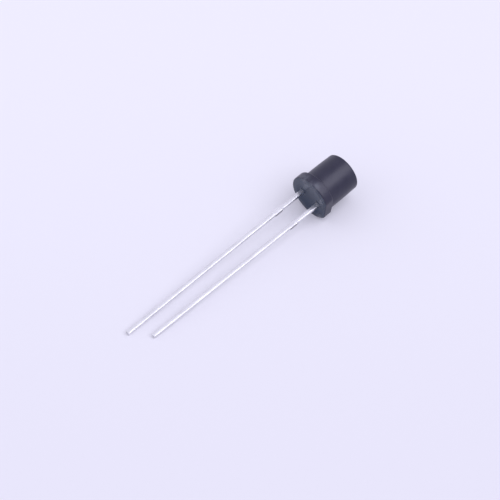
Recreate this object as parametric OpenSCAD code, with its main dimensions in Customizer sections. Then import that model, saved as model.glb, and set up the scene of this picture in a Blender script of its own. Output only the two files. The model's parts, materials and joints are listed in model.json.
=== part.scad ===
// Flat-top phototransistor in a 5 mm radial package.
// The part is drawn upright in its own frame: the casting face of the epoxy at z = 0, the flat
// top up, the short collector lead on the +X side. at_rest() then lays it down on the rim of
// its flange and its two lead tips, with the flat top towards +X and the floor at z = 0.
// All sizes are in millimetres and degrees.

/* [Epoxy case] */
// Diameter of the straight seat of the barrel
barrel_d = 5.0; // [4.0:0.1:6.2]
// Length of the straight seat, from the flange's front face
seat_h = 2.0; // [1.0:0.1:2.6]
// Draft of the barrel above the seat, in degrees
draft = 1.2; // [0.4:0.1:3]
// Height of the case from the casting face to the flat top
case_h = 5.7; // [4.7:0.1:7.0]
// How far the flange stands out from the barrel
flange_lip = 0.45; // [0.35:0.01:0.8]
// Thickness of the flange
flange_t = 1.2; // [0.9:0.05:1.6]
// How far the polarity flat stands out from the barrel
flat_proud = 0.06; // [0.04:0.01:0.15]
// Radius round the edge of the flat top
top_edge_r = 0.25; // [0.1:0.05:0.5]
// Radius on the edges of the flange
flange_edge_r = 0.12; // [0.05:0.01:0.2]
// Fillet between the flange's front face and the barrel
root_r = 0.14; // [0.05:0.01:0.3]
// Depth of the dish that the shrinking epoxy leaves in the casting face
dish_depth = 0.18; // [0.05:0.01:0.25]
// Width of the flat rim left between the dish and the polarity flat
rim_w = 0.32; // [0.25:0.01:0.6]
// How far the epoxy collar stands out round each lead
collar_w = 0.16; // [0.08:0.01:0.25]

/* [Leads] */
// Width of each lead, across the lead frame
lead_w = 0.5; // [0.4:0.02:0.62]
// Thickness of the lead frame's sheet
sheet_t = 0.5; // [0.4:0.02:0.62]
// Spacing of the lead centres at the casting face
lead_pitch = 2.54; // [2.1:0.02:3.1]
// Length of the short collector lead outside the case
collector_leg = 26.2; // [20:0.1:32]
// Length of the long emitter lead outside the case
emitter_leg = 28.0; // [22:0.1:34]
// How far each lead tip leans in towards the other
toe_in = 0.12; // [0:0.01:0.25]
// How far each lead tip is bent out of the frame's plane, the two opposite ways
splay = 0.11; // [0:0.01:0.25]
// Distance from the casting face to the sheared stubs of the dam bar
stub_from = 3.6; // [2:0.1:6]
// Length of the stubs along the lead
stub_len = 1.2; // [0.6:0.1:2]
// How far the stubs stand out from the lead
stub_out = 0.05; // [0.03:0.01:0.2]

/* [Lead frame inside the case] */
// Depth of the chip's cup below the flat top
window_t = 2.3; // [1.9:0.1:2.7]
// Height at which the leads widen inside the case
key_z = 1.15; // [0.8:0.05:1.4]
// Height of the keying shoulders that hold the leads in the epoxy
key_h = 0.85; // [0.5:0.05:1.2]
// How far the keying shoulders stand out from the leads
key_out = 0.2; // [0.1:0.01:0.3]
// Width of the collector shank on the far side of the axis
shank_in = 0.45; // [0.3:0.01:0.55]
// Height of the upset round head
head_h = 0.5; // [0.35:0.05:0.6]
// Depth of the coined cup in the head
cup_depth = 0.22; // [0.15:0.01:0.3]
// How far the cup's wall leans out over its depth
cup_flare = 0.08; // [0.03:0.01:0.15]
// Thickness of the wall round the cup's mouth
cup_wall = 0.17; // [0.1:0.01:0.25]
// Width of the top of the emitter post
post_w = 0.42; // [0.3:0.02:0.5]
// How far the post's top stands above the cup's mouth
post_rise = 0.15; // [0.05:0.01:0.3]
// How far the top of the post leans in towards the cup
post_lean = 0.12; // [0:0.01:0.14]

/* [Chip and bonding] */
// Width of the square chip
chip_w = 0.5; // [0.35:0.01:0.62]
// Thickness of the chip
chip_t = 0.25; // [0.15:0.01:0.32]
// Room between the chip's corners and the cup's wall
chip_room = 0.06; // [0.03:0.01:0.12]
// Thickness of the die attach
bond_line = 0.03; // [0.02:0.005:0.05]
// Diameter of the bond wire
wire_d = 0.03; // [0.02:0.005:0.04]
// Height of the wire's loop above the chip
loop_h = 0.42; // [0.3:0.02:0.6]
// Length of wire pressed flat on the post
stitch = 0.08; // [0.04:0.01:0.12]

/* [Hidden] */

ROUND = 96;         // facets of a full circle in a preview
EDGE_STEPS = 6;     // straight steps in a rounded edge
DISH_STEPS = 8;     // straight steps in the dish
SETTLE_STEPS = 8;   // passes that settle the rest position
WIRE_SIDES = 8;     // sides of the bond wire
WIRE_RINGS = 22;    // rings along the bond wire
CUT = 1;            // how far a cutting shape runs past what it cuts

barrel_r = barrel_d / 2;
flange_r = barrel_r + flange_lip;
flat_x = barrel_r + flat_proud;
top_r = barrel_r - (case_h - flange_t - seat_h) * tan(draft);
dish_r = flat_x - rim_w;
pad_z = case_h - window_t;
post_z = pad_z + post_rise;
leg_x = lead_pitch / 2;
collar_r = norm([lead_w, sheet_t]) / 2;
cup_floor_r = chip_w * sqrt(2) / 2 + chip_room;
cup_mouth_r = cup_floor_r + cup_flare;
head_r = cup_mouth_r + cup_wall;
cup_floor_z = pad_z - cup_depth;
attach_r = cup_floor_r - chip_room / 3;
chip_z = cup_floor_z + bond_line;
chip_top_z = chip_z + chip_t;
post_x = -leg_x + post_lean;
collar_foot_z = 0.015;       // kept clear of the rim's plane
collar_foot_r = collar_r + 0.02;

// ---- Rest position ----------------------------------------------------------------------
// The part lies on the rounded rim of the flange and on the lowest corner of each lead tip.
// tilt is the slope of the axis, roll its turn that lowers the collector side.

// Place of the lowest corner of a lead tip, [across the frame, out of its plane]
collector_tip = [leg_x - toe_in + lead_w / 2, -splay + sheet_t / 2];
emitter_tip = [-leg_x + toe_in + lead_w / 2, splay + sheet_t / 2];

// The roll at which both tips touch the floor, for a given tilt
function roll_for(tilt) =
    let (across = collector_tip - emitter_tip)
    asin((emitter_leg - collector_leg) * tan(tilt) / norm(across)) - atan2(across.y, across.x);

// The tilt at which the emitter's tip touches the floor, for a given roll
function tilt_for(roll) =
    let (
        drop = emitter_tip.x * sin(roll) + emitter_tip.y * cos(roll),
        rise = flange_r - flange_edge_r - drop,
        reach = emitter_leg + flange_edge_r
    )
    atan2(rise, reach) + asin(flange_edge_r / norm([rise, reach]));

function settled(tilt, passes) = passes == 0 ? tilt : settled(tilt_for(roll_for(tilt)), passes - 1);

rest_tilt = settled(atan2(flange_r, emitter_leg), SETTLE_STEPS);
rest_roll = roll_for(rest_tilt);
// Height of the centre of the casting face above the floor
rest_z = (flange_r - flange_edge_r) * cos(rest_tilt) + flange_edge_r * (1 - sin(rest_tilt));
// The two ends of the part along the floor, from the centre of the casting face
rest_front = (case_h - top_edge_r) * cos(rest_tilt) + (top_r - top_edge_r) * sin(rest_tilt) + top_edge_r;
rest_back = emitter_leg * cos(rest_tilt) + (lead_w - emitter_tip.x) * sin(rest_roll) * sin(rest_tilt);

module at_rest() {
    translate([(rest_back - rest_front) / 2, 0, rest_z])
        rotate([0, -rest_tilt, 0])
            rotate([rest_roll - 90, 0, 0])
                rotate([0, 90, 0])
                    children();
}

// ---- Epoxy case -------------------------------------------------------------------------

// Points of an arc round centre c, from angle a to angle b
function arc(c, r, a, b, steps) =
    [for (i = [0:steps]) c + r * [cos(a + (b - a) * i / steps), sin(a + (b - a) * i / steps)]];

// Height of the dished casting face at radius r
function dish_z(r) = dish_depth * (1 - pow(r / dish_r, 2));

// Half section of the case, [radius, height]
function case_section() = concat(
    [for (i = [0:DISH_STEPS]) let (r = dish_r * i / DISH_STEPS) [r, dish_z(r)]],
    arc([flange_r - flange_edge_r, flange_edge_r], flange_edge_r, -90, 0, EDGE_STEPS),
    arc([flange_r - flange_edge_r, flange_t - flange_edge_r], flange_edge_r, 0, 90, EDGE_STEPS),
    arc([barrel_r + root_r, flange_t + root_r], root_r, -90, -180, EDGE_STEPS),
    [[barrel_r, flange_t + seat_h]],
    arc([top_r - top_edge_r, case_h - top_edge_r], top_edge_r, 0, 90, EDGE_STEPS),
    [[0, case_h]]
);

module case_blank() {
    difference() {
        rotate_extrude($fn = ROUND) polygon(case_section());
        translate([flat_x, -flange_r, -CUT]) cube([flange_lip + CUT, 2 * flange_r, flange_t + root_r + CUT]);
    }
}

// Epoxy that climbs a lead out of the dish
module collar(x) {
    translate([x, 0, collar_foot_z])
        cylinder(h = dish_depth - collar_foot_z, r1 = collar_foot_r, r2 = collar_r + collar_w, $fn = ROUND);
}

module case() {
    color("#26262e") difference() {
        union() {
            case_blank();
            collar(leg_x);
            collar(-leg_x);
        }
        collector_form();
        emitter_form();
        die_form();
        attach_form();
        wire_form();
    }
}

// ---- Lead frame -------------------------------------------------------------------------
// Each lead is the meeting of two flat outlines: the stamped one, seen square to the sheet,
// and the bent one, seen along the sheet.

// How far in a lead has leaned at depth z below the casting face
function lean(z, leg) = toe_in * min(0, z) / leg;

// One edge of a leg from the casting face down, with its stub; side is +1 or -1
function leg_edge(x, side, leg, inward) = [
    for (p = [
        [0, 0],
        [-stub_from, 0],
        [-stub_from - stub_out / 2, stub_out],
        [-stub_from - stub_len, stub_out],
        [-stub_from - stub_len, 0],
        [-leg, 0]
    ])
    [x + side * (lead_w / 2 + p.y) - inward * lean(p.x, leg), p.x]
];

function backwards(points) = [for (i = [len(points) - 1:-1:0]) points[i]];

// The sheet's edge outline, [out of plane, height]: straight inside the case, bent below it
module bent_strip(top_z, leg, tip_y) {
    rotate([90, 0, 90]) linear_extrude(height = 4 * lead_pitch, center = true) polygon([
        [-sheet_t / 2, top_z],
        [-sheet_t / 2, 0],
        [tip_y - sheet_t / 2, -leg],
        [tip_y + sheet_t / 2, -leg],
        [sheet_t / 2, 0],
        [sheet_t / 2, top_z]
    ]);
}

// The stamped outline, wider than the bent strip is thick
module stamping(points) {
    rotate([90, 0, 0]) linear_extrude(height = 4 * sheet_t, center = true) polygon(points);
}

module collector_form() {
    outer = leg_x + lead_w / 2;
    neck_z = pad_z - head_h;
    difference() {
        union() {
            intersection() {
                stamping(concat(
                    leg_edge(leg_x, 1, collector_leg, -1),
                    backwards(leg_edge(leg_x, -1, collector_leg, -1)),
                    [
                        [leg_x - lead_w / 2, key_z - lead_w / 2],
                        [leg_x - lead_w, key_z],
                        [-shank_in, key_z],
                        [-shank_in, neck_z],
                        [shank_in, neck_z],
                        [outer, key_z + key_h + key_out],
                        [outer + key_out, key_z + key_h],
                        [outer + key_out, key_z],
                        [outer, key_z - key_out]
                    ]
                ));
                bent_strip(neck_z, collector_leg, -splay);
            }
            translate([0, 0, neck_z]) cylinder(h = head_h, r = head_r, $fn = ROUND);
        }
        translate([0, 0, cup_floor_z])
            cylinder(
                h = 2 * cup_depth, r1 = cup_floor_r, r2 = 2 * cup_mouth_r - cup_floor_r, $fn = ROUND
            );
    }
}

module emitter_form() {
    outer = -leg_x - lead_w / 2;
    inner = -leg_x + lead_w / 2;
    intersection() {
        stamping(concat(
            backwards(leg_edge(-leg_x, -1, emitter_leg, 1)),
            [
                [outer, key_z - key_out],
                [outer - key_out, key_z],
                [outer - key_out, key_z + key_h],
                [outer, key_z + key_h + key_out],
                [post_x - post_w / 2, post_z],
                [post_x + post_w / 2, post_z],
                [inner, key_z + key_h + key_out]
            ],
            leg_edge(-leg_x, 1, emitter_leg, 1)
        ));
        bent_strip(post_z, emitter_leg, splay);
    }
}

module collector_lead() {
    color("#d6d6da") collector_form();
}

module emitter_lead() {
    color("#d6d6da") emitter_form();
}

// ---- Chip, die attach and bond wire -----------------------------------------------------

module attach_form() {
    translate([0, 0, cup_floor_z]) cylinder(h = bond_line, r = attach_r, $fn = ROUND);
}

module die_form() {
    translate([-chip_w / 2, -chip_w / 2, chip_z]) cube([chip_w, chip_w, chip_t]);
}

module die_attach() {
    color("#b9bcc0") attach_form();
}

module photo_die() {
    color("#3a4660") die_form();
}

// Corners of the wire's curve in the frame's plane: up from the chip, over, and flat on the post
wire_r = wire_d / 2;
wire_from = [-chip_w / 4, chip_top_z];
wire_to = [post_x, post_z + wire_r];
wire_bends = [
    wire_from,
    wire_from + [0, loop_h * 4 / 3],
    [post_x + post_w, wire_to.y + loop_h * 2 / 3],
    [post_x + post_w / 4, wire_to.y],
    wire_to
];

function mix(a, b, t) = a + (b - a) * t;

// A point of the smooth curve that a list of corners pulls along
function pull(points, t) =
    len(points) == 1 ? points[0]
    : pull([for (i = [0:len(points) - 2]) mix(points[i], points[i + 1], t)], t);

// Direction of that curve, as an angle
function heading(points, t) =
    let (d = pull([for (i = [0:len(points) - 2]) points[i + 1] - points[i]], t)) atan2(d.y, d.x);

// The ball bond swells the wire's first stretch
function ball(t) = t < 0.04 ? 2.8 : t < 0.09 ? 3.2 : t < 0.13 ? 2.0 : 1;

// One ring of the wire's skin, square to its path
function wire_ring(c, a, t) =
    [
        for (k = [0:WIRE_SIDES - 1])
        let (
            q = 360 * (k + 0.5) / WIRE_SIDES,
            r = wire_r * ball(t) / cos(180 / WIRE_SIDES),
            up = r * cos(q)
        )
        [c.x - up * sin(a), r * sin(q), c.y + up * cos(a)]
    ];

module wire_form() {
    rings = [
        for (i = [0:WIRE_RINGS])
        let (t = i / WIRE_RINGS, a = i == 0 ? 90 : i == WIRE_RINGS ? 180 : heading(wire_bends, t))
        wire_ring(pull(wire_bends, t), a, t),
        wire_ring(wire_to - [stitch, 0], 180, 1)
    ];
    last = (len(rings) - 1) * WIRE_SIDES;
    polyhedron(
        points = [for (ring = rings, p = ring) p],
        faces = concat(
            [[for (k = [0:WIRE_SIDES - 1]) k]],
            [
                for (i = [0:len(rings) - 2], k = [0:WIRE_SIDES - 1])
                let (a = i * WIRE_SIDES, b = a + WIRE_SIDES, n = (k + 1) % WIRE_SIDES)
                [a + k, b + k, b + n, a + n]
            ],
            [[for (k = [WIRE_SIDES - 1:-1:0]) last + k]]
        )
    );
}

module bond_wire() {
    color("#d9a63a") wire_form();
}

at_rest() case();
at_rest() collector_lead();
at_rest() emitter_lead();
at_rest() photo_die();
at_rest() die_attach();
at_rest() bond_wire();
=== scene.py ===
"""Finished looks of a flat-top phototransistor in a 5 mm radial package.

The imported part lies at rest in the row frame, in metres. The sizes below are millimetres in the
part's own upright frame: the casting face of the epoxy at z = 0, the flat top up and the short
collector lead on the +x side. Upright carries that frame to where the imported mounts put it.
"""

import json
import logging
import math
from dataclasses import dataclass, field
from enum import Enum
from typing import Any, Sequence, Union

import bpy
import numpy as np
from mathutils import Matrix, Vector
from mathutils.geometry import delaunay_2d_cdt

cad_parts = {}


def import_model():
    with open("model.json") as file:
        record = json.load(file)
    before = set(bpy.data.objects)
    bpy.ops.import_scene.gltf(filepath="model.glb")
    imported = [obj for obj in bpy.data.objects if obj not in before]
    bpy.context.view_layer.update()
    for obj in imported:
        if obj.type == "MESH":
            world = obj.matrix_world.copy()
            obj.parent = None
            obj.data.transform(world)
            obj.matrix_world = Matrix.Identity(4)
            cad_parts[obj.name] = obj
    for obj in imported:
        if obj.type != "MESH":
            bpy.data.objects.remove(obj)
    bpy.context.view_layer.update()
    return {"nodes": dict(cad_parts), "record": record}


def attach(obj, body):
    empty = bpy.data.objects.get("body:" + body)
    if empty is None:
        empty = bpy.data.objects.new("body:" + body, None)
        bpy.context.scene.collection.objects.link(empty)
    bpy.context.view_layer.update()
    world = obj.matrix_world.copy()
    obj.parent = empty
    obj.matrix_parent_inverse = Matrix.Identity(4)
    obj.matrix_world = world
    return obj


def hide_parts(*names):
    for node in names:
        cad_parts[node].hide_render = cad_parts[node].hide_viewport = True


LOG = logging.getLogger("phototransistor")
MM = 0.001
BODY = "root"


# The sockets of a Mix node that blends colours.
MIX_FACTOR, MIX_A, MIX_B, MIX_RESULT = 0, 6, 7, 2

# What fractal noise wavers around.
NOISE_MEAN = 0.5

# Straight steps in a small rounded corner, and each quadrant's first angle with its signs.
CORNER_STEPS = 4
QUADRANTS = ((0, 1, 1), (90, -1, 1), (180, -1, -1), (270, 1, -1))

Colour = tuple[float, float, float]
Point = tuple[float, float, float]
Span = tuple[float, float]


class Slot(Enum):
    """The record's material slots that match the new pieces' main finishes."""

    EPOXY = "black_epoxy"
    TIN = "tinned_steel"


# ---- Shader maths -----------------------------------------------------------------------------


@dataclass(frozen=True)
class Signal:
    """One output of a node, with arithmetic that adds Math nodes.

    Args:
        graph: The material's graph that new nodes go to.
        socket: The output socket that carries the value.
    """

    graph: "Graph"
    socket: bpy.types.NodeSocket

    def _math(self, operation: str, *values: Any) -> "Signal":
        """Adds one Math node on the given values."""
        return self.graph.node("ShaderNodeMath", {"operation": operation}, dict(enumerate(values)))

    def __add__(self, other: Any) -> "Signal":
        """self + other"""
        return self._math("ADD", self, other)

    __radd__ = __add__

    def __mul__(self, other: Any) -> "Signal":
        """self * other"""
        return self._math("MULTIPLY", self, other)

    __rmul__ = __mul__

    def __sub__(self, other: Any) -> "Signal":
        """self - other"""
        return self._math("SUBTRACT", self, other)

    def __rsub__(self, other: Any) -> "Signal":
        """other - self"""
        return self._math("SUBTRACT", other, self)

    def __pow__(self, other: Any) -> "Signal":
        """self ** other"""
        return self._math("POWER", self, other)

    def __abs__(self) -> "Signal":
        """abs(self)"""
        return self._math("ABSOLUTE", self)

    def least(self, other: Any) -> "Signal":
        """The smaller of the two."""
        return self._math("MINIMUM", self, other)

    def most(self, other: Any) -> "Signal":
        """The larger of the two."""
        return self._math("MAXIMUM", self, other)

    def step(self, low: float, high: float) -> "Signal":
        """Rises smoothly from 0 at low to 1 at high, and falls where low is the larger.

        Args:
            low: Value at which the result is 0.
            high: Value at which the result is 1.

        Returns:
            The eased value, from 0 to 1.
        """
        turned = low > high
        settings = {"interpolation_type": "SMOOTHSTEP"}
        limits = {"From Min": min(low, high), "From Max": max(low, high)}
        eased = self.graph.node("ShaderNodeMapRange", settings, {"Value": self, **limits})
        return 1.0 - eased if turned else eased


Input = Union[Signal, float, Sequence[float]]
Sockets = dict[int | str, Input]


@dataclass(frozen=True)
class Pattern:
    """Fractal noise, and how it is read as a mask.

    Args:
        scale: Cells in a millimetre.
        detail: Octaves added to the first.
        rough: Share that each octave keeps.
        stretch: How many times finer it is along x, y and z.
        span: The noise values at which its mask is 0 and 1.
    """

    scale: float
    detail: float = 3.0
    rough: float = 0.5
    stretch: Point | None = None
    span: Span = (0.0, 1.0)


class Graph:
    """The node graph of one material or world."""

    def __init__(self, tree: bpy.types.NodeTree) -> None:
        """Empties the tree and keeps it."""
        tree.nodes.clear()
        self.tree = tree

    def node(
        self,
        kind: str,
        settings: dict[str, Any] | None = None,
        inputs: Sockets | None = None,
        output: int | str = 0,
    ) -> Signal:
        """Adds any node.

        Args:
            kind: The node's type.
            settings: Its own settings, which are set first.
            inputs: What its input sockets hold or are linked to, by name or number.
            output: The output socket to hand back.

        Returns:
            That output as a signal.
        """
        made = self.tree.nodes.new(kind)
        for name, value in (settings or {}).items():
            setattr(made, name, value)
        for name, value in (inputs or {}).items():
            target = made.inputs[name]
            if isinstance(value, Signal):
                self.tree.links.new(value.socket, target)
            else:
                target.default_value = value
        return Signal(self, made.outputs[output])

    def place(self) -> Signal:
        """The point of the surface in the piece's own frame.

        Returns:
            The point, in millimetres.
        """
        point = self.node("ShaderNodeTexCoord", output="Object")
        settings = {"operation": "SCALE"}
        return self.node("ShaderNodeVectorMath", settings, {0: point, "Scale": 1 / MM})

    def place_in(self, upright: Matrix) -> Signal:
        """The point in the part's upright frame, in millimetres, for a mesh in the row frame.

        Args:
            upright: Carries upright coordinates, in metres, to the row frame.

        Returns:
            The upright point.
        """
        row_point = self.node("ShaderNodeTexCoord", output="Object")
        start = tuple(upright.translation)
        offset = self.node("ShaderNodeVectorMath", {"operation": "SUBTRACT"}, {0: row_point, 1: start})
        turned: Sockets = {}
        for number in range(3):
            axis = tuple(upright.col[number].xyz / MM)
            settings = {"operation": "DOT_PRODUCT"}
            turned[number] = self.node("ShaderNodeVectorMath", settings, {0: offset, 1: axis}, "Value")
        return self.node("ShaderNodeCombineXYZ", inputs=turned)

    def split(self, point: Signal) -> tuple[Signal, Signal, Signal]:
        """The three coordinates of a point.

        Args:
            point: A vector signal.

        Returns:
            Its x, y and z.
        """
        first = self.node("ShaderNodeSeparateXYZ", inputs={0: point})
        sockets = first.socket.node.outputs
        return Signal(self, sockets[0]), Signal(self, sockets[1]), Signal(self, sockets[2])

    def noise(self, point: Signal, pattern: Pattern) -> Signal:
        """Fractal noise around NOISE_MEAN.

        Args:
            point: Where it is read, in millimetres.
            pattern: Its cells and how they are stretched.

        Returns:
            The noise value.
        """
        if pattern.stretch is not None:
            finer = {0: point, 1: pattern.stretch}
            point = self.node("ShaderNodeVectorMath", {"operation": "MULTIPLY"}, finer)
        octaves = {"Detail": pattern.detail, "Roughness": pattern.rough}
        return self.node("ShaderNodeTexNoise", inputs={"Vector": point, "Scale": pattern.scale, **octaves})

    def mask(self, point: Signal, pattern: Pattern) -> Signal:
        """How much a pattern shows at a point, from 0 to 1."""
        return self.noise(point, pattern).step(*pattern.span)

    def mix(self, share: Input, first: Input, second: Input) -> Signal:
        """Blends two colours.

        Args:
            share: How much of the second colour shows, from 0 to 1.
            first: The colour at 0.
            second: The colour at 1.

        Returns:
            The blended colour.
        """
        ends = [(*end, 1.0) if isinstance(end, tuple) else end for end in (first, second)]
        sockets = {MIX_FACTOR: share, MIX_A: ends[0], MIX_B: ends[1]}
        return self.node("ShaderNodeMix", {"data_type": "RGBA"}, sockets, MIX_RESULT)

    def bump(self, height: Signal, depth: float, normal: Signal | None = None) -> Signal:
        """A normal bent by a height.

        Args:
            height: The relief, about 0 to 1.
            depth: How far 1 stands above 0, in millimetres.
            normal: The normal that it adds to.

        Returns:
            The bent normal.
        """
        inputs: Sockets = {"Height": height, "Strength": 1.0, "Distance": depth * MM}
        if normal is not None:
            inputs["Normal"] = normal
        return self.node("ShaderNodeBump", inputs=inputs)

    def close(self, shader: Signal, kind: str = "ShaderNodeOutputMaterial") -> None:
        """Links the shader to the output of the material or world."""
        out = self.tree.nodes.new(kind)
        self.tree.links.new(shader.socket, out.inputs["Surface"])


def new_material(name: str) -> tuple[bpy.types.Material, Graph]:
    """Adds a material.

    Args:
        name: Its name.

    Returns:
        The empty material and its graph.
    """
    material = bpy.data.materials.new(name)
    material.use_nodes = True
    return material, Graph(material.node_tree)


# ---- Finishes ---------------------------------------------------------------------------------


@dataclass(frozen=True)
class Finish:
    """A procedural finish with its detail laid out in the part's upright frame.

    Args:
        name: The material's name.
    """

    name: str

    def sockets(self, graph: Graph, point: Signal) -> Sockets:
        """What the sockets of the shader hold or are linked to.

        Args:
            graph: The material's graph.
            point: The point of the surface in the upright frame, in millimetres.

        Returns:
            Each socket's value or signal, by the socket's name.
        """
        raise NotImplementedError

    def build(self, upright: Matrix) -> bpy.types.Material:
        """Makes the material.

        Args:
            upright: Carries upright coordinates, in metres, to the row frame.

        Returns:
            The material.
        """
        material, graph = new_material(self.name)
        point = graph.place_in(upright)
        graph.close(graph.node("ShaderNodeBsdfPrincipled", inputs=self.sockets(graph, point)))
        return material


@dataclass(frozen=True)
class CastEpoxy(Finish):
    """Black epoxy: satin where it met the mould cup, glossier where it set in the open.

    Each span of a place runs from where a mask is 0 to where it is 1, in millimetres. A share
    says how strongly a mask shows, a rough how far a pattern moves the roughness, and a depth
    how high the relief stands, in millimetres.
    """

    name: str = "cast_epoxy"
    deep: Colour = (0.0095, 0.0092, 0.0290)
    worn: Colour = (0.0165, 0.0158, 0.0380)
    dish: Colour = (0.0045, 0.0200, 0.0520)
    dust: Colour = (0.1100, 0.1080, 0.1200)
    # Painted highlight: lighter colour in spots at the flange's open edge, in place of its reflection of the
    # bright surroundings.
    painted_sheen: Colour = (0.0900, 0.0980, 0.1260)
    sheen_spots: tuple[Point, ...] = ((-1.40, -2.55, 0.12), (0.25, -2.92, 0.05), (1.9, 2.2, 0.2))
    sheen_span: Span = (1.05, 0.15)
    sheen_least: float = 0.25
    face_top: Span = (0.40, 0.25)
    face_rim: Span = (2.93, 2.80)
    face_flat: Span = (2.55, 2.45)
    low_edge: float = 0.08
    low_span: Span = (0.14, 0.02)
    high_edge: float = 1.13
    high_span: Span = (0.12, 0.02)
    edge_rim: Span = (2.78, 2.90)
    clouds: Pattern = Pattern(0.7, 5.0, 0.55, span=(0.32, 0.72))
    wear_clouds: Span = (0.38, 0.62)
    grain: Pattern = Pattern(11.0, 4.0, 0.6)
    draw_lines: Pattern = Pattern(1.0, 4.0, 0.6, (9.0, 9.0, 0.22))
    scuffs: Pattern = Pattern(1.0, 5.0, 0.65, (2.2, 2.2, 9.0), (0.60, 0.78))
    specks: Pattern = Pattern(17.0, 1.0, 0.4, span=(0.80, 0.86))
    sheen_mottle: Pattern = Pattern(1.9, 4.0, 0.6, span=(0.36, 0.62))
    ripples: Pattern = Pattern(1.6, 2.0, 0.4)
    pits: Pattern = Pattern(30.0, 2.0)
    scuff_share: float = 0.35
    wear_share: float = 0.5
    speck_share: float = 0.6
    satin: float = 0.36
    gloss: float = 0.20
    grain_rough: float = 0.14
    cloud_rough: float = 0.26
    scuff_rough: float = 0.08
    wear_polish: float = 0.10
    face_rough: float = 0.08
    grain_relief: float = 0.45
    line_relief: float = 0.40
    scuff_relief: float = 0.15
    skin_depth: float = 0.010
    pit_depth: float = 0.0012
    ior: float = 1.5

    def sockets(self, graph: Graph, point: Signal) -> Sockets:
        """The epoxy's clouded black, its skin from the mould and its rippled open face.

        Args:
            graph: The material's graph.
            point: The point of the surface in the upright frame, in millimetres.

        Returns:
            Each socket's value or signal, by the socket's name.
        """
        across, along, height = graph.split(point)
        radius = (across * across + along * along) ** 0.5
        open_face = height.step(*self.face_top) * radius.step(*self.face_rim) * across.step(*self.face_flat)
        cloud = graph.noise(point, self.clouds)
        grain = graph.noise(point, self.grain)
        drawn = graph.noise(point, self.draw_lines)
        scuff = graph.mask(point, self.scuffs)
        low_wear = abs(height - self.low_edge).step(*self.low_span)
        high_wear = abs(height - self.high_edge).step(*self.high_span)
        rim_wear = low_wear.most(high_wear) * radius.step(*self.edge_rim) * cloud.step(*self.wear_clouds)
        rubbed = (scuff * self.scuff_share + rim_wear * self.wear_share).least(1.0)
        shade = graph.mix(cloud.step(*self.clouds.span), self.deep, self.worn)
        shade = graph.mix(rubbed, shade, self.worn)
        shade = graph.mix(open_face, shade, self.dish)
        # Painted highlight at the flange's open edge, standing in for its reflection.
        shade = graph.mix(self.sheen_cover(graph, point), shade, self.painted_sheen)
        shade = graph.mix(graph.mask(point, self.specks) * self.speck_share, shade, self.dust)
        skin_rough = self.satin + (grain - NOISE_MEAN) * self.grain_rough
        skin_rough += (cloud - NOISE_MEAN) * self.cloud_rough
        skin_rough += scuff * self.scuff_rough
        skin_rough -= rim_wear * self.wear_polish
        face_rough = self.gloss + (cloud - NOISE_MEAN) * self.face_rough
        rough = skin_rough * (1.0 - open_face) + face_rough * open_face
        skin = grain * self.grain_relief + drawn * self.line_relief + scuff * self.scuff_relief
        relief = skin * (1.0 - open_face) + graph.noise(point, self.ripples) * open_face
        coarse = graph.bump(relief, self.skin_depth)
        normal = graph.bump(graph.noise(point, self.pits), self.pit_depth, coarse)
        return {"Base Color": shade, "Roughness": rough, "Normal": normal, "IOR": self.ior}

    def sheen_cover(self, graph: Graph, point: Signal) -> Signal:
        """Painted highlight: patchy lighter colour in spots at the flange's open edge, standing in for its
        reflection of the bright surroundings.

        Args:
            graph: The material's graph.
            point: The point in the part's upright frame, in millimetres.

        Returns:
            How much of the painted highlight there is, from 0 to 1.
        """
        cover = 0.0
        for spot in self.sheen_spots:
            away = graph.node("ShaderNodeVectorMath", {"operation": "DISTANCE"}, {0: point, 1: spot}, "Value")
            cover = away.step(*self.sheen_span).most(cover)
        return cover * (graph.mask(point, self.sheen_mottle) * (1 - self.sheen_least) + self.sheen_least)


@dataclass(frozen=True)
class BrightTin(Finish):
    """Bright tin plating on rolled and stamped steel."""

    name: str = "bright_tin"
    bright: Colour = (0.80, 0.80, 0.813)
    dull: Colour = (0.69, 0.69, 0.70)
    handled: Colour = (0.60, 0.588, 0.573)
    clouds: Pattern = Pattern(1.5, 4.0, 0.55, (1.0, 1.0, 0.45), (0.34, 0.70))
    rolling: Pattern = Pattern(1.0, 4.0, 0.6, (26.0, 26.0, 0.45))
    grain: Pattern = Pattern(16.0, 4.0, 0.6)
    waves: Pattern = Pattern(0.9, 2.0, 0.45, (1.0, 1.0, 0.8))
    smudges: Pattern = Pattern(2.4, 4.0, 0.6, span=(0.58, 0.76))
    nicks: Pattern = Pattern(1.0, 3.0, 0.5, (6.0, 6.0, 3.0), (0.70, 0.80))
    smudge_share: float = 0.45
    nick_share: float = 0.3
    polish: float = 0.27
    cloud_rough: float = 0.16
    line_rough: float = 0.12
    smudge_rough: float = 0.10
    line_relief: float = 0.55
    grain_relief: float = 0.45
    skin_depth: float = 0.0045
    wave_depth: float = 0.030
    nick_depth: float = 0.006

    def sockets(self, graph: Graph, point: Signal) -> Sockets:
        """The tin's dull clouds, rolling lines, smudges and nicks.

        Args:
            graph: The material's graph.
            point: The point of the surface in the upright frame, in millimetres.

        Returns:
            Each socket's value or signal, by the socket's name.
        """
        cloud = graph.noise(point, self.clouds)
        lines = graph.noise(point, self.rolling)
        smudge = graph.mask(point, self.smudges)
        nick = graph.mask(point, self.nicks)
        touched = (smudge * self.smudge_share + nick * self.nick_share).least(1.0)
        shade = graph.mix(cloud.step(*self.clouds.span), self.bright, self.dull)
        shade = graph.mix(touched, shade, self.handled)
        rough = self.polish + (cloud - NOISE_MEAN) * self.cloud_rough
        rough += (lines - NOISE_MEAN) * self.line_rough
        rough += smudge * self.smudge_rough
        skin = lines * self.line_relief + graph.noise(point, self.grain) * self.grain_relief
        wavy = graph.bump(graph.noise(point, self.waves), self.wave_depth, graph.bump(skin, self.skin_depth))
        normal = graph.bump(1.0 - nick, self.nick_depth, wavy)
        return {"Base Color": shade, "Metallic": 1.0, "Roughness": rough, "Normal": normal}


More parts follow.
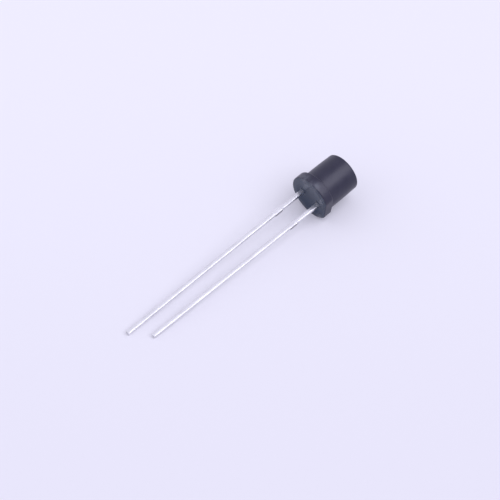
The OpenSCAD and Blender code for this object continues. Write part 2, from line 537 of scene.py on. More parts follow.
@dataclass(frozen=True)
class ShearedSteel(Finish):
    """Bare steel where the dam bar and the lead ends were cut: burnished above, torn below.

    The blade that crops the leads to length drags a thin smear of tin over their ends. Each span
    of a place runs from where a mask is 0 to where it is 1, in millimetres.
    """

    name: str = "sheared_steel"
    burnished: Colour = (0.47, 0.463, 0.47)
    torn: Colour = (0.34, 0.332, 0.336)
    smeared: Colour = (0.80, 0.805, 0.835)
    rust: Colour = (0.26, 0.185, 0.135)
    tear_span: Span = (0.16, 0.08)
    tear_waver: float = 0.16
    smear_span: Span = (-12.0, -14.0)
    smear_lines: Span = (0.25, 0.65)
    smear_streak: float = 0.35
    smear_least: float = 0.60
    border: Pattern = Pattern(1.0, stretch=(5.0, 0.6, 5.0))
    blade_lines: Pattern = Pattern(1.0, stretch=(24.0, 1.2, 24.0), span=(0.30, 0.70))
    tears: Pattern = Pattern(1.0, 5.0, 0.7, (9.0, 5.0, 12.0), (0.55, 0.80))
    rust_specks: Pattern = Pattern(3.0, 4.0, span=(0.62, 0.80))
    line_share: float = 0.4
    rust_share: float = 0.5
    burnished_rough: float = 0.30
    torn_rough: float = 0.30
    tear_rough: float = 0.2
    line_relief: float = 0.15
    depth: float = 0.018

    def sockets(self, graph: Graph, point: Signal) -> Sockets:
        """The two zones of a shear cut, a touch of rust, and the smear at the lead ends.

        Args:
            graph: The material's graph.
            point: The point of the surface in the upright frame, in millimetres.

        Returns:
            Each socket's value or signal, by the socket's name.
        """
        _, out_of_plane, height = graph.split(point)
        waver = (graph.noise(point, self.border) - NOISE_MEAN) * self.tear_waver
        torn = (out_of_plane + waver).step(*self.tear_span)
        lines = graph.noise(point, self.blade_lines)
        tear = graph.noise(point, self.tears)
        bare = graph.mix(lines.step(*self.blade_lines.span) * self.line_share, self.burnished, self.torn)
        broken = graph.mix(tear.step(*self.tears.span), self.torn, self.burnished)
        shade = graph.mix(torn, bare, broken)
        streaks = lines.step(*self.smear_lines) * self.smear_streak + self.smear_least
        shade = graph.mix(height.step(*self.smear_span) * streaks, shade, self.smeared)
        shade = graph.mix(graph.mask(point, self.rust_specks) * self.rust_share, shade, self.rust)
        rough = self.burnished_rough + torn * self.torn_rough + (tear - NOISE_MEAN) * self.tear_rough
        normal = graph.bump(lines * self.line_relief * (1.0 - torn) + tear * torn, self.depth)
        return {"Base Color": shade, "Metallic": 1.0, "Roughness": rough, "Normal": normal}


@dataclass(frozen=True)
class PhotoSilicon(Finish):
    """The chip: a blue coated window inside a metal ring, a bond pad, and sawn grey sides."""

    name: str = "photo_silicon"
    chip_w: float = 0.5
    top_z: float = 3.46
    ring_inset: float = 0.035
    ring_span: Span = (0.013, 0.009)
    pad_x: float = -0.125
    pad_w: float = 0.11
    blur: float = 0.002
    coated: Colour = (0.018, 0.026, 0.090)
    fringe: Colour = (0.045, 0.022, 0.105)
    sawn: Colour = (0.20, 0.20, 0.215)
    saw_mark: Colour = (0.12, 0.12, 0.129)
    metal: Colour = (0.84, 0.84, 0.85)
    film: Pattern = Pattern(3.5, span=(0.35, 0.70))
    saw_lines: Pattern = Pattern(1.0, 3.0, 0.6, (6.0, 6.0, 90.0), (0.3, 0.7))
    side_rough: float = 0.42
    top_polish: float = 0.30
    metal_rough: float = 0.16
    saw_rough: float = 0.12
    metal_relief: float = 0.5
    saw_relief: float = 0.5
    depth: float = 0.002
    ior: float = 2.0

    def sockets(self, graph: Graph, point: Signal) -> Sockets:
        """The chip's printed top and its sawn sides.

        Args:
            graph: The material's graph.
            point: The point of the surface in the upright frame, in millimetres.

        Returns:
            Each socket's value or signal, by the socket's name.
        """
        across, along, height = graph.split(point)
        top = height.step(self.top_z - 3 * self.blur, self.top_z - self.blur)
        reach = abs(across).most(abs(along))
        ring = abs(reach - (self.chip_w / 2 - self.ring_inset)).step(*self.ring_span)
        pad_reach = abs(across - self.pad_x).most(abs(along))
        pad = pad_reach.step(self.pad_w / 2 + self.blur, self.pad_w / 2 - self.blur)
        window = graph.mix(graph.mask(point, self.film), self.coated, self.fringe)
        saw = graph.noise(point, self.saw_lines)
        sides = graph.mix(saw.step(*self.saw_lines.span), self.sawn, self.saw_mark)
        metal = ring.most(pad) * top
        shade = graph.mix(metal, graph.mix(top, sides, window), self.metal)
        rough = self.side_rough - top * self.top_polish + metal * self.metal_rough
        rough += (saw - NOISE_MEAN) * self.saw_rough
        normal = graph.bump(metal * self.metal_relief + saw * (1.0 - top) * self.saw_relief, self.depth)
        return {"Base Color": shade, "Metallic": metal, "Roughness": rough, "Normal": normal, "IOR": self.ior}


@dataclass(frozen=True)
class SilverEpoxy(Finish):
    """Grey die attach full of silver flakes."""

    name: str = "silver_filled_epoxy"
    flake: Colour = (0.78, 0.78, 0.77)
    binder: Colour = (0.30, 0.30, 0.31)
    flakes_per_mm: float = 70.0
    flake_span: Span = (0.62, 0.30)
    wetting: Pattern = Pattern(9.0, 4.0, 0.6, span=(0.25, 0.55))
    binder_rough: float = 0.55
    flake_polish: float = 0.25
    wet_rough: float = 0.15
    flake_metal: float = 0.9
    flake_relief: float = 0.6
    wet_relief: float = 0.4
    depth: float = 0.003

    def sockets(self, graph: Graph, point: Signal) -> Sockets:
        """Flakes in a binder that wets some of them over.

        Args:
            graph: The material's graph.
            point: The point of the surface in the upright frame, in millimetres.

        Returns:
            Each socket's value or signal, by the socket's name.
        """
        inputs = {"Vector": point, "Scale": self.flakes_per_mm, "Randomness": 1.0}
        cells = graph.node("ShaderNodeTexVoronoi", inputs=inputs, output="Distance")
        wet = graph.noise(point, self.wetting)
        flakes = cells.step(*self.flake_span) * wet.step(*self.wetting.span)
        shade = graph.mix(flakes, self.binder, self.flake)
        rough = self.binder_rough - flakes * self.flake_polish + (wet - NOISE_MEAN) * self.wet_rough
        normal = graph.bump(flakes * self.flake_relief + wet * self.wet_relief, self.depth)
        metallic = flakes * self.flake_metal
        return {"Base Color": shade, "Metallic": metallic, "Roughness": rough, "Normal": normal}


@dataclass(frozen=True)
class DrawnGold(Finish):
    """Fine gold wire with the marks of its die."""

    name: str = "drawn_gold"
    gold: Colour = (0.94, 0.68, 0.30)
    shadowed: Colour = (0.80, 0.52, 0.20)
    die_marks: Pattern = Pattern(1.0, stretch=(30.0, 160.0, 30.0))
    tones: Pattern = Pattern(8.0, span=(0.35, 0.70))
    polish: float = 0.22
    mark_rough: float = 0.14
    tone_rough: float = 0.08
    depth: float = 0.0006

    def sockets(self, graph: Graph, point: Signal) -> Sockets:
        """The gold's tones and die marks.

        Args:
            graph: The material's graph.
            point: The point of the surface in the upright frame, in millimetres.

        Returns:
            Each socket's value or signal, by the socket's name.
        """
        marks = graph.noise(point, self.die_marks)
        tone = graph.noise(point, self.tones)
        shade = graph.mix(tone.step(*self.tones.span), self.gold, self.shadowed)
        rough = self.polish + (marks - NOISE_MEAN) * self.mark_rough + (tone - NOISE_MEAN) * self.tone_rough
        normal = graph.bump(marks, self.depth)
        return {"Base Color": shade, "Metallic": 1.0, "Roughness": rough, "Normal": normal}


# ---- Frame and mesh helpers -------------------------------------------------------------------


@dataclass(frozen=True)
class Upright:
    """The part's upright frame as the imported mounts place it.

    Args:
        matrix: Carries upright coordinates, in metres, to the row frame.
    """

    matrix: Matrix

    @classmethod
    def from_record(cls, record: dict[str, Any]) -> "Upright":
        """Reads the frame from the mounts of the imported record.

        Args:
            record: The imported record.

        Returns:
            The upright frame.
        """
        mounts = {mount["name"]: mount for mount in record["mounts"]}
        origin = Vector(mounts["seating_rim"]["pos_m"])
        up = Vector(mounts["flat_top"]["axis"]).normalized()
        across = Vector(mounts["collector_pin"]["pos_m"]) - Vector(mounts["emitter_pin"]["pos_m"])
        across = (across - up * across.dot(up)).normalized()
        turn = Matrix((across, up.cross(across), up)).transposed()
        return cls(Matrix.Translation(origin) @ turn.to_4x4())


@dataclass
class Skin:
    """Points and faces of a mesh in the making, in millimetres."""

    points: list[Point] = field(default_factory=list)
    faces: list[tuple[int, ...]] = field(default_factory=list)
    marks: list[int] = field(default_factory=list)

    def add_points(self, points: Sequence[Sequence[float]]) -> list[int]:
        """Adds points.

        Args:
            points: Where they lie.

        Returns:
            Their numbers.
        """
        first = len(self.points)
        self.points += [tuple(float(c) for c in point) for point in points]
        return list(range(first, len(self.points)))

    def add_face(self, corners: Sequence[int], mark: int = 0) -> None:
        """Adds one face with a material number."""
        self.faces.append(tuple(corners))
        self.marks.append(mark)

    def bridge(self, low: Sequence[int], high: Sequence[int], mark: int = 0) -> None:
        """Joins two closed rings of as many points with a band of quads.

        Args:
            low: The ring that lies first along the skin.
            high: The ring after it.
            mark: The band's material number.
        """
        count = len(low)
        for k in range(count):
            n = (k + 1) % count
            self.add_face((low[k], low[n], high[n], high[k]), mark)

    def cap(self, ring: Sequence[int], centre: Sequence[float], flip: bool, mark: int = 0) -> None:
        """Closes a ring with a fan of triangles round a centre point.

        Args:
            ring: The ring's point numbers.
            centre: The centre point.
            flip: Whether the fan faces the other way.
            mark: The fan's material number.
        """
        hub = self.add_points([centre])[0]
        for k in range(len(ring)):
            pair = (ring[k], ring[(k + 1) % len(ring)])
            self.add_face((hub, *(reversed(pair) if flip else pair)), mark)


@dataclass(frozen=True)
class Workshop:
    """Turns skins into finished pieces of the part.

    Args:
        upright: The frame that the skins are drawn in.
    """

    upright: Upright

    def piece(
        self,
        name: str,
        skin: Skin,
        materials: Sequence[bpy.types.Material],
        slot: Slot,
        stands_for: Sequence[str],
    ) -> bpy.types.Object:
        """Makes a smooth-shaded object in place of CAD nodes.

        Args:
            name: The piece's name.
            skin: Its points and faces, in upright millimetres.
            materials: Its materials, in the order of the skin's marks.
            slot: The record's slot of its main material; not used.
            stands_for: The CAD nodes that it replaces.

        Returns:
            The new object, riding on the part.
        """
        turn = np.array(self.upright.matrix.to_3x3())
        placed = (np.array(skin.points) * MM) @ turn.T + np.array(self.upright.matrix.translation)
        mesh = bpy.data.meshes.new(name)
        mesh.from_pydata(placed.tolist(), [], skin.faces)
        mesh.polygons.foreach_set("material_index", skin.marks)
        mesh.polygons.foreach_set("use_smooth", [True] * len(skin.faces))
        mesh.validate()
        for material in materials:
            mesh.materials.append(material)
        piece = bpy.data.objects.new(name, mesh)
        bpy.context.scene.collection.objects.link(piece)
        weighted = piece.modifiers.new("face_weights", "WEIGHTED_NORMAL")
        weighted.keep_sharp = True
        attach(piece, BODY)
        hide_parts(*stands_for)
        LOG.info("%s: %d points, %d faces, for %s", name, len(skin.points), len(skin.faces), stands_for)
        return piece


def quarter(
    centre: tuple[float, float], radius: float, start: float, end: float, steps: int
) -> list[tuple[float, float]]:
    """Points of an arc.

    Args:
        centre: The arc's centre.
        radius: Its radius.
        start: Its first angle, in degrees.
        end: Its last angle, in degrees.
        steps: How many straight steps it has.

    Returns:
        The arc's points, both ends included.
    """
    turns = [math.radians(start + (end - start) * i / steps) for i in range(steps + 1)]
    return [(centre[0] + radius * math.cos(t), centre[1] + radius * math.sin(t)) for t in turns]


# ---- Epoxy case -------------------------------------------------------------------------------


@dataclass
class EpoxyCase:
    """The cast epoxy body with its flange, polarity flat, dished casting face and collars."""

    barrel_r: float = 2.5
    seat_h: float = 2.0
    draft: float = 1.2
    case_h: float = 5.7
    flange_r: float = 2.95
    flange_t: float = 1.2
    flat_x: float = 2.56
    flat_corner: float = 44.0
    least_facing: float = 0.05
    lip_share: float = 0.45
    seat_rings: Span = (0.3, 1.0)
    shoulder_rings: tuple[Span, ...] = ((0.0, -0.02), (0.001, 0.06))
    top_edge_r: float = 0.25
    top_hollow: float = 0.012
    flange_edge_r: float = 0.12
    root_r: float = 0.14
    dish_depth: float = 0.18
    dish_r: float = 2.24
    dish_ease: float = 0.02
    inner_r: float = 1.95
    collar_fade: float = 0.072
    collar_foot: float = 0.012
    collar_reach: float = 0.26
    collar_loops: tuple[float, ...] = (0.008, 0.024, 0.048, 0.08, 0.12, 0.17, 0.23)
    dish_shares: tuple[float, ...] = (0.0, 0.35, 0.6, 0.8, 0.9, 0.96, 1.0)
    top_shares: tuple[float, ...] = (0.97, 0.85, 0.6, 0.3)
    pocket_top: float = 0.8
    pocket_bite: float = 0.004
    lead_half: float = 0.25
    lead_corner: float = 0.05
    lead_x: float = 1.27
    columns: int = 360
    rim_cells: float = 0.6
    side_shares: tuple[float, ...] = (0.2, 0.4, 0.6, 0.8)
    edge_steps: int = 8
    top_edge_steps: int = 12
    pocket_steps: int = 6
    grid: float = 0.055
    weld: float = 1e-7

    @property
    def lead_places(self) -> tuple[float, float]:
        """Where the two leads stand across the frame."""
        return -self.lead_x, self.lead_x

    def outline(self, turn: float) -> float:
        """Radius of the flange at an angle, its flat included.

        Args:
            turn: The angle from +x, in radians.

        Returns:
            The distance from the axis to the flange's side.
        """
        facing = math.cos(turn)
        if facing <= self.least_facing:
            return self.flange_r
        flat = self.flat_x / facing
        power = self.flat_corner
        return (self.flange_r**-power + flat**-power) ** (-1 / power)

    def section(self, turn: float) -> list[tuple[float, float]]:
        """The half section at an angle, from the dish's inner ring up to the flat top's middle.

        Args:
            turn: The angle from +x, in radians.

        Returns:
            Points of [radius, height]; each angle has as many.
        """
        rim = self.outline(turn)
        lip = rim - self.barrel_r
        front = min(self.flange_edge_r, self.lip_share * lip)
        root = min(self.root_r, 0.5 * lip)
        back = self.flange_edge_r
        shoulder = self.flange_t + self.seat_h
        drafted = self.case_h - shoulder
        top_r = self.barrel_r - drafted * math.tan(math.radians(self.draft))
        flat_r = top_r - self.top_edge_r
        points: list[tuple[float, float]] = []
        for share in self.dish_shares:
            radius = self.inner_r + (self.dish_r - self.inner_r) * share
            points.append((radius, self.casting_face(radius, 0.0, False)))
        points.append((self.dish_r + self.lip_share * (rim - back - self.dish_r), 0.0))
        points += quarter((rim - back, back), back, -90, 0, self.edge_steps)
        points.append((rim, 0.5 * self.flange_t))
        points += quarter((rim - front, self.flange_t - front), front, 0, 90, self.edge_steps)
        foot = (self.barrel_r + root, self.flange_t + root)
        points += quarter(foot, root, -90, -180, self.edge_steps)
        points += [(self.barrel_r, self.flange_t + self.root_r + rise) for rise in self.seat_rings]
        points += [(self.barrel_r - dip, shoulder + rise) for dip, rise in self.shoulder_rings]
        points.append(((self.barrel_r + top_r) / 2, shoulder + drafted / 2))
        edge = (flat_r, self.case_h - self.top_edge_r)
        points += quarter(edge, self.top_edge_r, 0, 90, self.top_edge_steps)
        for share in self.top_shares:
            points.append((flat_r * share, self.case_h - self.top_hollow * (1 - share * share)))
        return points

    def casting_face(self, x: float, y: float, collars: bool = True) -> float:
        """Height of the dished face at a point.

        Args:
            x: Across the lead frame.
            y: Out of its plane.
            collars: Whether the epoxy's climb up the leads counts.

        Returns:
            How far the face lies above the rim's plane.
        """
        radius = math.hypot(x, y)
        depth = 0.0
        if radius < self.dish_r:
            bowl = self.dish_depth * (1 - (radius / self.dish_r) ** 2)
            depth = 0.5 * (bowl + math.hypot(bowl, self.dish_ease) - self.dish_ease)
        if not collars:
            return depth
        for centre in self.lead_places:
            out_x = max(abs(x - centre) - self.lead_half, 0.0)
            out_y = max(abs(y) - self.lead_half, 0.0)
            climb = math.exp(-math.hypot(out_x, out_y) / self.collar_fade)
            depth = depth * (1 - climb) + self.collar_foot * climb
        return depth

    def loop(self, centre: float, offset: float) -> list[tuple[float, float]]:
        """A rounded square round one lead.

        Args:
            centre: The lead's place across the frame.
            offset: How far outside the lead the loop runs.

        Returns:
            The loop's points, anticlockwise.
        """
        corner = self.lead_corner + offset
        reach = self.lead_half - self.lead_corner
        points: list[tuple[float, float]] = []
        for start, side_x, side_y in QUADRANTS:
            middle = (centre + side_x * reach, side_y * reach)
            points += quarter(middle, corner, start, start + 90, self.pocket_steps)
            last_x, last_y = points[-1]
            ahead = math.radians(start + 90)
            for share in self.side_shares:
                run = 2 * reach * share
                points.append((last_x - math.sin(ahead) * run, last_y + math.cos(ahead) * run))
        return points

    def floor_of_dish(self, skin: Skin, edge: Sequence[int]) -> None:
        """Fills the casting face inside the lathe's first ring, with a pocket for each lead.

        Args:
            skin: The skin that is being built.
            edge: The numbers of the first ring's points.
        """
        flat = [Vector(skin.points[i][:2]) for i in edge]
        borders = [(i, (i + 1) % len(flat)) for i in range(len(flat))]
        holes: list[list[int]] = []
        for centre in self.lead_places:
            for offset in (-self.pocket_bite, *self.collar_loops):
                ring = self.loop(centre, offset)
                first = len(flat)
                flat += [Vector(p) for p in ring]
                if offset < 0:
                    holes.append(list(range(first, first + len(ring))))
                    borders += [(first + i, first + (i + 1) % len(ring)) for i in range(len(ring))]
        rows = int(self.inner_r / self.grid) + 1
        for row in range(-rows, rows + 1):
            for column in range(-rows, rows + 1):
                x = (column + 0.5 * (row % 2)) * self.grid
                y = row * self.grid * math.sqrt(3) / 2
                near = min(max(abs(x - centre), abs(y)) for centre in self.lead_places)
                clear = near > self.lead_half + self.collar_reach
                if clear and math.hypot(x, y) < self.inner_r - self.rim_cells * self.grid:
                    flat.append(Vector((x, y)))
        points, _, faces, origins, _, _ = delaunay_2d_cdt(flat, borders, [], 0, self.weld)
        numbers: dict[int, int] = {}
        made_from: dict[int, int] = {}
        for number, (point, origin) in enumerate(zip(points, origins)):
            made_from.update({i: number for i in origin})
            known = [i for i in origin if i < len(edge)]
            if known:
                numbers[number] = edge[known[0]]
            else:
                height = self.casting_face(point.x, point.y)
                numbers[number] = skin.add_points([(point.x, point.y, height)])[0]
        for face in faces:
            middle = sum((points[i] for i in face), Vector((0.0, 0.0))) / len(face)
            reach = self.lead_half - self.lead_corner
            out_x = min(max(abs(middle.x - centre) - reach, 0.0) for centre in self.lead_places)
            out_y = max(abs(middle.y) - reach, 0.0)
            if math.hypot(out_x, out_y) > self.lead_corner - self.pocket_bite:
                skin.add_face([numbers[i] for i in reversed(face)])
        for hole, centre in zip(holes, self.lead_places):
            mouth = [numbers[made_from[i]] for i in hole]
            roof = skin.add_points([(*skin.points[i][:2], self.pocket_top) for i in mouth])
            skin.bridge(roof, mouth)
            skin.cap(roof, (centre, 0.0, self.pocket_top), True)

    def build(self, workshop: Workshop, finish: bpy.types.Material) -> bpy.types.Object:
        """Makes the case in place of its CAD node.

        Args:
            workshop: Makes the object.
            finish: The epoxy.

        Returns:
            The case.
        """
        skin = Skin()
        turns = [2 * math.pi * k / self.columns for k in range(self.columns)]
        sections = [self.section(turn) for turn in turns]
        rings = []
        for level in zip(*sections):
            ring = [(r * math.cos(turn), r * math.sin(turn), z) for turn, (r, z) in zip(turns, level)]
            rings.append(skin.add_points(ring))
        for low, high in zip(rings, rings[1:]):
            skin.bridge(low, high)
        skin.cap(rings[-1], (0.0, 0.0, self.case_h - self.top_hollow), False)
        self.floor_of_dish(skin, rings[0])
        return workshop.piece("epoxy_case", skin, [finish], Slot.EPOXY, ["case"])


# ---- Leads ------------------------------------------------------------------------------------


Level = tuple[float, float, float]


@dataclass
class StampedLead:
    """One square lead of the stamped frame, from its sheared tip to its end inside the epoxy.

    Its outline is a table of levels: a height, then the inner and outer edge across the frame.
    """

    node: str
    side: float
    leg: float
    splay: float
    width: float = 0.5
    thickness: float = 0.5
    lead_x: float = 1.27
    toe_in: float = 0.12
    stub_from: float = 3.6
    stub_len: float = 1.2
    stub_out: float = 0.05
    corner: float = 0.05
    sharp: float = 0.02
    tip_edge: float = 0.04
    tip_table: tuple[Span, ...] = ((0.0, 1.0), (0.3, 0.35), (0.7, 0.08))
    bevel_share: float = 0.3
    cut_gap: float = 0.02
    cut_ease: float = 0.006
    lip_h: float = 0.004
    lip_in: float = 0.015
    key_z: float = 1.15
    key_h: float = 0.85
    key_out: float = 0.2
    leg_rings: int = 48
    stub_shares: tuple[float, ...] = (0.25, 0.5, 0.75)
    neck_shares: tuple[float, ...] = (0.9, 0.7, 0.5, 0.3, 0.15)

    @property
    def inner(self) -> float:
        """The leg's edge nearer the axis, where it leaves the epoxy."""
        return self.lead_x - self.width / 2

    @property
    def outer(self) -> float:
        """The leg's edge away from the axis, where it leaves the epoxy."""
        return self.lead_x + self.width / 2

    def buried_outline(self) -> list[Level]:
        """The levels inside the epoxy, from the casting face up."""
        raise NotImplementedError

    def add_head(self, skin: Skin) -> None:
        """Adds what stands on top of the outline; a plain lead has nothing there."""

    def edges(self) -> list[tuple[float, float, float, float, int]]:
        """Rings of the lead from its tip up.

        Returns:
            For each ring its height, inner edge, outer edge, corner radius and the material
            number of its two sheared sides.
        """
        low = -self.stub_from - self.stub_len
        high = -self.stub_from
        ramp = self.stub_out / 2
        gap = self.cut_gap
        ease = self.cut_ease
        rings: list[tuple[float, float, float, float, int]] = []

        def plain(height: float, grow: float = 0.0, radius: float = self.corner, mark: int = 0) -> None:
            """Adds a ring of the leg, widened by grow on both sides."""
            lean = self.toe_in * min(height, 0.0) / self.leg
            rings.append((height, self.inner - grow + lean, self.outer + grow + lean, radius, mark))

        foot = -self.leg + self.tip_edge
        for k in range(self.leg_rings):
            plain(foot + (low - 3 * gap - foot) * k / (self.leg_rings - 1))
        plain(low - gap)
        plain(low, ease, self.sharp)
        plain(low + self.lip_h, self.stub_out - self.lip_in, self.sharp)
        plain(low + gap, self.stub_out, self.sharp, 1)
        for share in self.stub_shares:
            plain(low + self.stub_len * share, self.stub_out, self.sharp, 1)
        plain(high - ramp - gap, self.stub_out, self.sharp, 1)
        plain(high - ramp, self.stub_out - ease, self.sharp)
        plain(high - gap / 2, 2 * ease, self.sharp)
        plain(high + gap / 2)
        for share in self.neck_shares:
            plain(high * share)
        for height, edge_in, edge_out in self.buried_outline():
            rings.append((height, edge_in, edge_out, self.corner, 0))
        return rings

    def ring(self, height: float, edge_in: float, edge_out: float, corner: float) -> list[Point]:
        """Points of one rounded rectangle across the lead.

        Args:
            height: Its height.
            edge_in: Its edge nearer the axis.
            edge_out: Its edge away from the axis.
            corner: Its corner radius.

        Returns:
            Its points, anticlockwise seen from above.
        """
        centre_x = self.side * (edge_in + edge_out) / 2
        centre_y = self.splay * -min(height, 0.0) / self.leg
        reach_x = (edge_out - edge_in) / 2 - corner
        reach_y = self.thickness / 2 - corner
        points: list[Point] = []
        for start, side_x, side_y in QUADRANTS:
            middle = (centre_x + side_x * reach_x, centre_y + side_y * reach_y)
            points += [(x, y, height) for x, y in quarter(middle, corner, start, start + 90, CORNER_STEPS)]
        return points

    def tip(self) -> list[list[Point]]:
        """Rings of the eased tip, from its end up.

        Returns:
            The points of each ring.
        """
        half = self.thickness / 2
        rings: list[list[Point]] = []
        for share, inset in self.tip_table:
            inset *= self.tip_edge
            edges = (self.inner - self.toe_in + inset, self.outer - self.toe_in - inset)
            ring = self.ring(-self.leg + self.tip_edge * share, *edges, self.corner)
            squeeze = (half - inset) / half
            rings.append([(x, self.splay + (y - self.splay) * squeeze, z) for x, y, z in ring])
        return rings

    def build(
        self, workshop: Workshop, plating: bpy.types.Material, cut: bpy.types.Material
    ) -> bpy.types.Object:
        """Makes the lead in place of its CAD node.

        Args:
            workshop: Makes the object.
            plating: The tin.
            cut: The bare steel of the sheared ends.

        Returns:
            The lead.
        """
        skin = Skin()
        rings = [skin.add_points(ring) for ring in self.tip()]
        marks = [0] * len(rings)
        for *place, mark in self.edges():
            rings.append(skin.add_points(self.ring(*place)))
            marks.append(mark)
        half_turn = 2 * (CORNER_STEPS + 1)
        for k, (low, high) in enumerate(zip(rings, rings[1:])):
            for i in range(len(low)):
                n = (i + 1) % len(low)
                across_frame = i % half_turn == half_turn - 1
                sheared = across_frame and marks[k] == marks[k + 1] == 1
                skin.add_face((low[i], low[n], high[n], high[i]), int(sheared))
        skin.cap(rings[0], np.mean([skin.points[i] for i in rings[0]], axis=0), True, 1)
        skin.cap(rings[-1], np.mean([skin.points[i] for i in rings[-1]], axis=0), False)
        self.add_head(skin)
        return workshop.piece("stamped_" + self.node, skin, [plating, cut], Slot.TIN, [self.node])


@dataclass
class CollectorLead(StampedLead):
    """The short lead: a wide shank over the axis, and the round head with the chip's cup."""

    node: str = "collector_lead"
    side: float = 1.0
    leg: float = 26.2
    splay: float = -0.11
    shank_in: float = 0.45
    neck_z: float = 2.9
    head_top: float = 3.4
    head_r: float = 0.6636
    cup_floor_z: float = 3.18
    cup_floor_r: float = 0.4136
    cup_mouth_r: float = 0.4936
    flare: float = 15.0
    edge_r: float = 0.03
    shelf_r: float = 0.04
    neck_run: float = 0.15
    neck_sunk: float = 0.05
    hub_r: float = 0.02
    columns: int = 96

    def buried_outline(self) -> list[Level]:
        """The outline from the casting face up to the neck under the head.

        Returns:
            Its levels.
        """
        inner, outer = self.inner, self.outer
        wide = outer + self.key_out
        shelf = self.key_z
        far = -self.shank_in
        shoulder = shelf + self.key_h + self.key_out
        slope = (outer - self.shank_in) / (self.neck_z - shoulder)
        nip = self.cut_gap / 2
        bevel = self.bevel_share * self.shelf_r
        return [
            (0.0, inner, outer),
            (shelf - self.width / 2, inner, outer),
            (shelf - self.key_out, inner - self.corner, outer),
            (shelf - nip, inner - self.width / 2 + nip, wide - nip),
            (shelf, far + self.shelf_r, wide),
            (shelf + bevel, far + bevel, wide),
            (shelf + self.shelf_r, far, wide),
            (shelf + self.key_h, far, wide),
            (shoulder, far, outer),
            (self.neck_z - self.neck_run, far, self.shank_in + self.neck_run * slope),
            (self.neck_z + self.neck_sunk, far, self.shank_in),
        ]

    def add_head(self, skin: Skin) -> None:
        """Adds the upset head with its coined cup.

        Args:
            skin: The lead's skin.
        """
        edge = self.edge_r
        base, top = self.neck_z, self.head_top
        section = [(self.hub_r, base)]
        for radius, height, start, end in (
            (self.head_r - edge, base + edge, -90, 0),
            (self.head_r - edge, top - edge, 0, 90),
            (self.cup_mouth_r + edge, top - edge, 90, 180 - self.flare),
            (self.cup_floor_r - edge, self.cup_floor_z + edge, -self.flare, -90),
        ):
            section += quarter((radius, height), edge, start, end, CORNER_STEPS)
        section.append((self.hub_r, self.cup_floor_z))
        turns = [2 * math.pi * k / self.columns for k in range(self.columns)]
        rings = [
            skin.add_points([(radius * math.cos(t), radius * math.sin(t), height) for t in turns])
            for radius, height in section
        ]
        for low, high in zip(rings, rings[1:]):
            skin.bridge(low, high)
        skin.cap(rings[0], (0.0, 0.0, base), True)
        skin.cap(rings[-1], (0.0, 0.0, self.cup_floor_z), False)


@dataclass
class EmitterLead(StampedLead):
    """The long lead, whose top narrows to the post that takes the bond wire."""

    node: str = "emitter_lead"
    side: float = -1.0
    leg: float = 28.0
    splay: float = 0.11
    post_z: float = 3.55
    post_w: float = 0.42
    post_lean: float = 0.12
    post_edge: float = 0.02

    def buried_outline(self) -> list[Level]:
        """The outline from the casting face up to the top of the post.

        Returns:
            Its levels.
        """
        inner, outer = self.inner, self.outer
        wide = outer + self.key_out
        post_in = self.lead_x - self.post_lean - self.post_w / 2
        post_out = post_in + self.post_w
        ease = self.post_edge
        bevel = self.bevel_share * ease
        return [
            (0.0, inner, outer),
            (self.key_z - self.key_out, inner, outer),
            (self.key_z, inner, wide),
            (self.key_z + self.key_h, inner, wide),
            (self.key_z + self.key_h + self.key_out, inner, outer),
            (self.post_z - ease, post_in, post_out),
            (self.post_z - bevel, post_in + bevel, post_out - bevel),
            (self.post_z, post_in + ease, post_out - ease),
        ]


# ---- Studio -----------------------------------------------------------------------------------


@dataclass(frozen=True)
class SoftBox:
    """A wide lamp, far enough away to light the whole stage alike.

    Args:
        name: The lamp's name.
        azimuth: Where it hangs, in degrees from +x towards +y.
        zenith: How far it hangs from straight overhead, in degrees.
        spread: How wide it looks from the part, in degrees.
        power: Its strength.
    """

    name: str
    azimuth: float
    zenith: float
    spread: float
    power: float

    def hang(self, tint: Colour) -> None:
        """Adds the lamp to the scene.

        Args:
            tint: The colour of its light.
        """
        data = bpy.data.lights.new(self.name, "SUN")
        data.energy = self.power
        data.angle = math.radians(self.spread)
        data.color = tint
        lamp = bpy.data.objects.new(self.name, data)
        bpy.context.scene.collection.objects.link(lamp)
        turn, lean = math.radians(self.azimuth), math.radians(self.zenith)
        towards = Vector((math.cos(turn) * math.sin(lean), math.sin(turn) * math.sin(lean), math.cos(lean)))
        lamp.rotation_euler = towards.to_track_quat("Z", "Y").to_euler()
        LOG.info("%s hung", self.name)


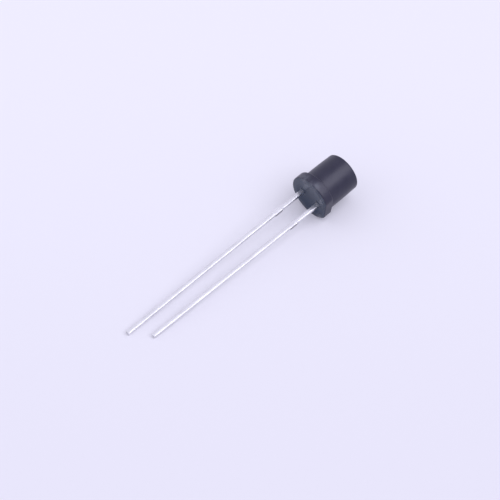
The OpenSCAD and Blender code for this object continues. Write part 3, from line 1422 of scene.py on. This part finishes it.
@dataclass
class Studio:
    """A pale floor under soft overhead light, and the camera."""

    aim: Point = (0.001934, 0.000824, 0.0)
    azimuth: float = -43.58
    elevation: float = 49.06
    distance: float = 0.200
    lens: float = 121.88
    sensor: float = 36.0
    clip_start: float = 0.01
    floor_reach: float = 4.0
    # Painted light falloff: the floor's colour on the side away from the camera and on the side towards it.
    far_floor_lit: Colour = (0.875, 0.870, 0.895)
    near_floor_shaded: Colour = (0.818, 0.812, 0.846)
    fade_reach: float = 45.0
    tint: Colour = (0.960, 0.945, 1.110)
    sky_light: float = 0.60
    sky_shown: Colour = (0.855, 0.84, 1.0)
    shadow_fill: float = 0.15
    paper_rough: float = 0.9
    paper_gloss: float = 0.1
    lamps: tuple[SoftBox, ...] = (
        SoftBox("front_soft_box", 292.0, 32.0, 54.0, 1.40),
        SoftBox("back_soft_box", 135.0, 58.0, 80.0, 0.35),
    )

    @staticmethod
    def seen(graph: Graph) -> Signal:
        """Tells the rays that show a surface from those that light it.

        Args:
            graph: The graph of a material or the world.

        Returns:
            1 for rays that come from the camera, off gloss or through glass, and 0 for the rest.
        """
        rays = graph.node("ShaderNodeLightPath", output="Is Camera Ray")
        for name in ("Is Glossy Ray", "Is Transmission Ray"):
            rays = rays.most(graph.node("ShaderNodeLightPath", output=name))
        return rays

    def set_floor(self) -> None:
        """Lays the floor, with painted light: its colour is a little brighter on the side away from the
        camera and darker towards it.
        """
        material, graph = new_material("pale_floor")
        across, along, _ = graph.split(graph.place())
        turn = math.radians(self.azimuth)
        away = along * math.cos(turn) - across * math.sin(turn)
        # Painted light falloff: the floor's colour grows darker towards the camera.
        shade = graph.mix(away.step(-self.fade_reach, self.fade_reach), self.near_floor_shaded, self.far_floor_lit)
        finish = {"Base Color": shade, "Roughness": self.paper_rough, "Specular IOR Level": self.paper_gloss}
        paper = graph.node("ShaderNodeBsdfPrincipled", inputs=finish)
        lit = graph.node("ShaderNodeVectorMath", {"operation": "MULTIPLY"}, {0: shade, 1: self.tint})
        glow = graph.node("ShaderNodeEmission", inputs={"Color": lit})
        fill = self.seen(graph) * self.shadow_fill
        graph.close(graph.node("ShaderNodeMixShader", inputs={0: fill, 1: paper, 2: glow}))
        reach = self.floor_reach
        mesh = bpy.data.meshes.new("floor")
        corners = [(-reach, -reach, 0.0), (reach, -reach, 0.0), (reach, reach, 0.0), (-reach, reach, 0.0)]
        mesh.from_pydata(corners, [], [(0, 1, 2, 3)])
        mesh.materials.append(material)
        floor = bpy.data.objects.new("floor", mesh)
        bpy.context.scene.collection.objects.link(floor)
        LOG.info("floor laid")

    def set_sky(self) -> None:
        """Lights the scene from all round; the camera, gloss and glass see a pale backdrop."""
        world = bpy.data.worlds.new("studio")
        bpy.context.scene.world = world
        world.use_nodes = True
        graph = Graph(world.node_tree)
        lit = {"Color": (*self.tint, 1.0), "Strength": self.sky_light}
        light = graph.node("ShaderNodeBackground", inputs=lit)
        shown = graph.node("ShaderNodeBackground", inputs={"Color": (*self.sky_shown, 1.0)})
        both = graph.node("ShaderNodeMixShader", inputs={0: self.seen(graph), 1: light, 2: shown})
        graph.close(both, "ShaderNodeOutputWorld")

    def set_camera(self) -> None:
        """Adds the camera and aims it at the part."""
        turn, rise = math.radians(self.azimuth), math.radians(self.elevation)
        back = Vector((math.sin(turn) * math.cos(rise), -math.cos(turn) * math.cos(rise), math.sin(rise)))
        data = bpy.data.cameras.new("camera")
        data.sensor_width = self.sensor
        data.lens = self.lens
        data.clip_start = self.clip_start
        camera = bpy.data.objects.new("camera", data)
        bpy.context.scene.collection.objects.link(camera)
        camera.location = Vector(self.aim) + back * self.distance
        camera.rotation_euler = back.to_track_quat("Z", "Y").to_euler()
        bpy.context.scene.camera = camera
        bpy.context.scene.view_settings.view_transform = "Standard"


def dress(node: bpy.types.Object, finish: bpy.types.Material) -> None:
    """Gives a CAD node its finish.

    Args:
        node: The node's object.
        finish: The material.
    """
    for number in range(len(node.material_slots)):
        node.material_slots[number].material = finish
    LOG.info("%s: dressed in %s", node.name, finish.name)


def main() -> None:
    """Loads the frame, builds and dresses each piece, and sets the stage."""
    logging.basicConfig(level=logging.INFO, format="%(name)s %(message)s")
    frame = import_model()
    upright = Upright.from_record(frame["record"])
    workshop = Workshop(upright)
    epoxy = CastEpoxy().build(upright.matrix)
    tin = BrightTin().build(upright.matrix)
    steel = ShearedSteel().build(upright.matrix)
    EpoxyCase().build(workshop, epoxy)
    CollectorLead().build(workshop, tin, steel)
    EmitterLead().build(workshop, tin, steel)
    dress(frame["nodes"]["photo_die"], PhotoSilicon().build(upright.matrix))
    dress(frame["nodes"]["die_attach"], SilverEpoxy().build(upright.matrix))
    dress(frame["nodes"]["bond_wire"], DrawnGold().build(upright.matrix))
    studio = Studio()
    studio.set_floor()
    studio.set_sky()
    for lamp in studio.lamps:
        lamp.hang(studio.tint)
    studio.set_camera()


if __name__ == "__main__":
    main()
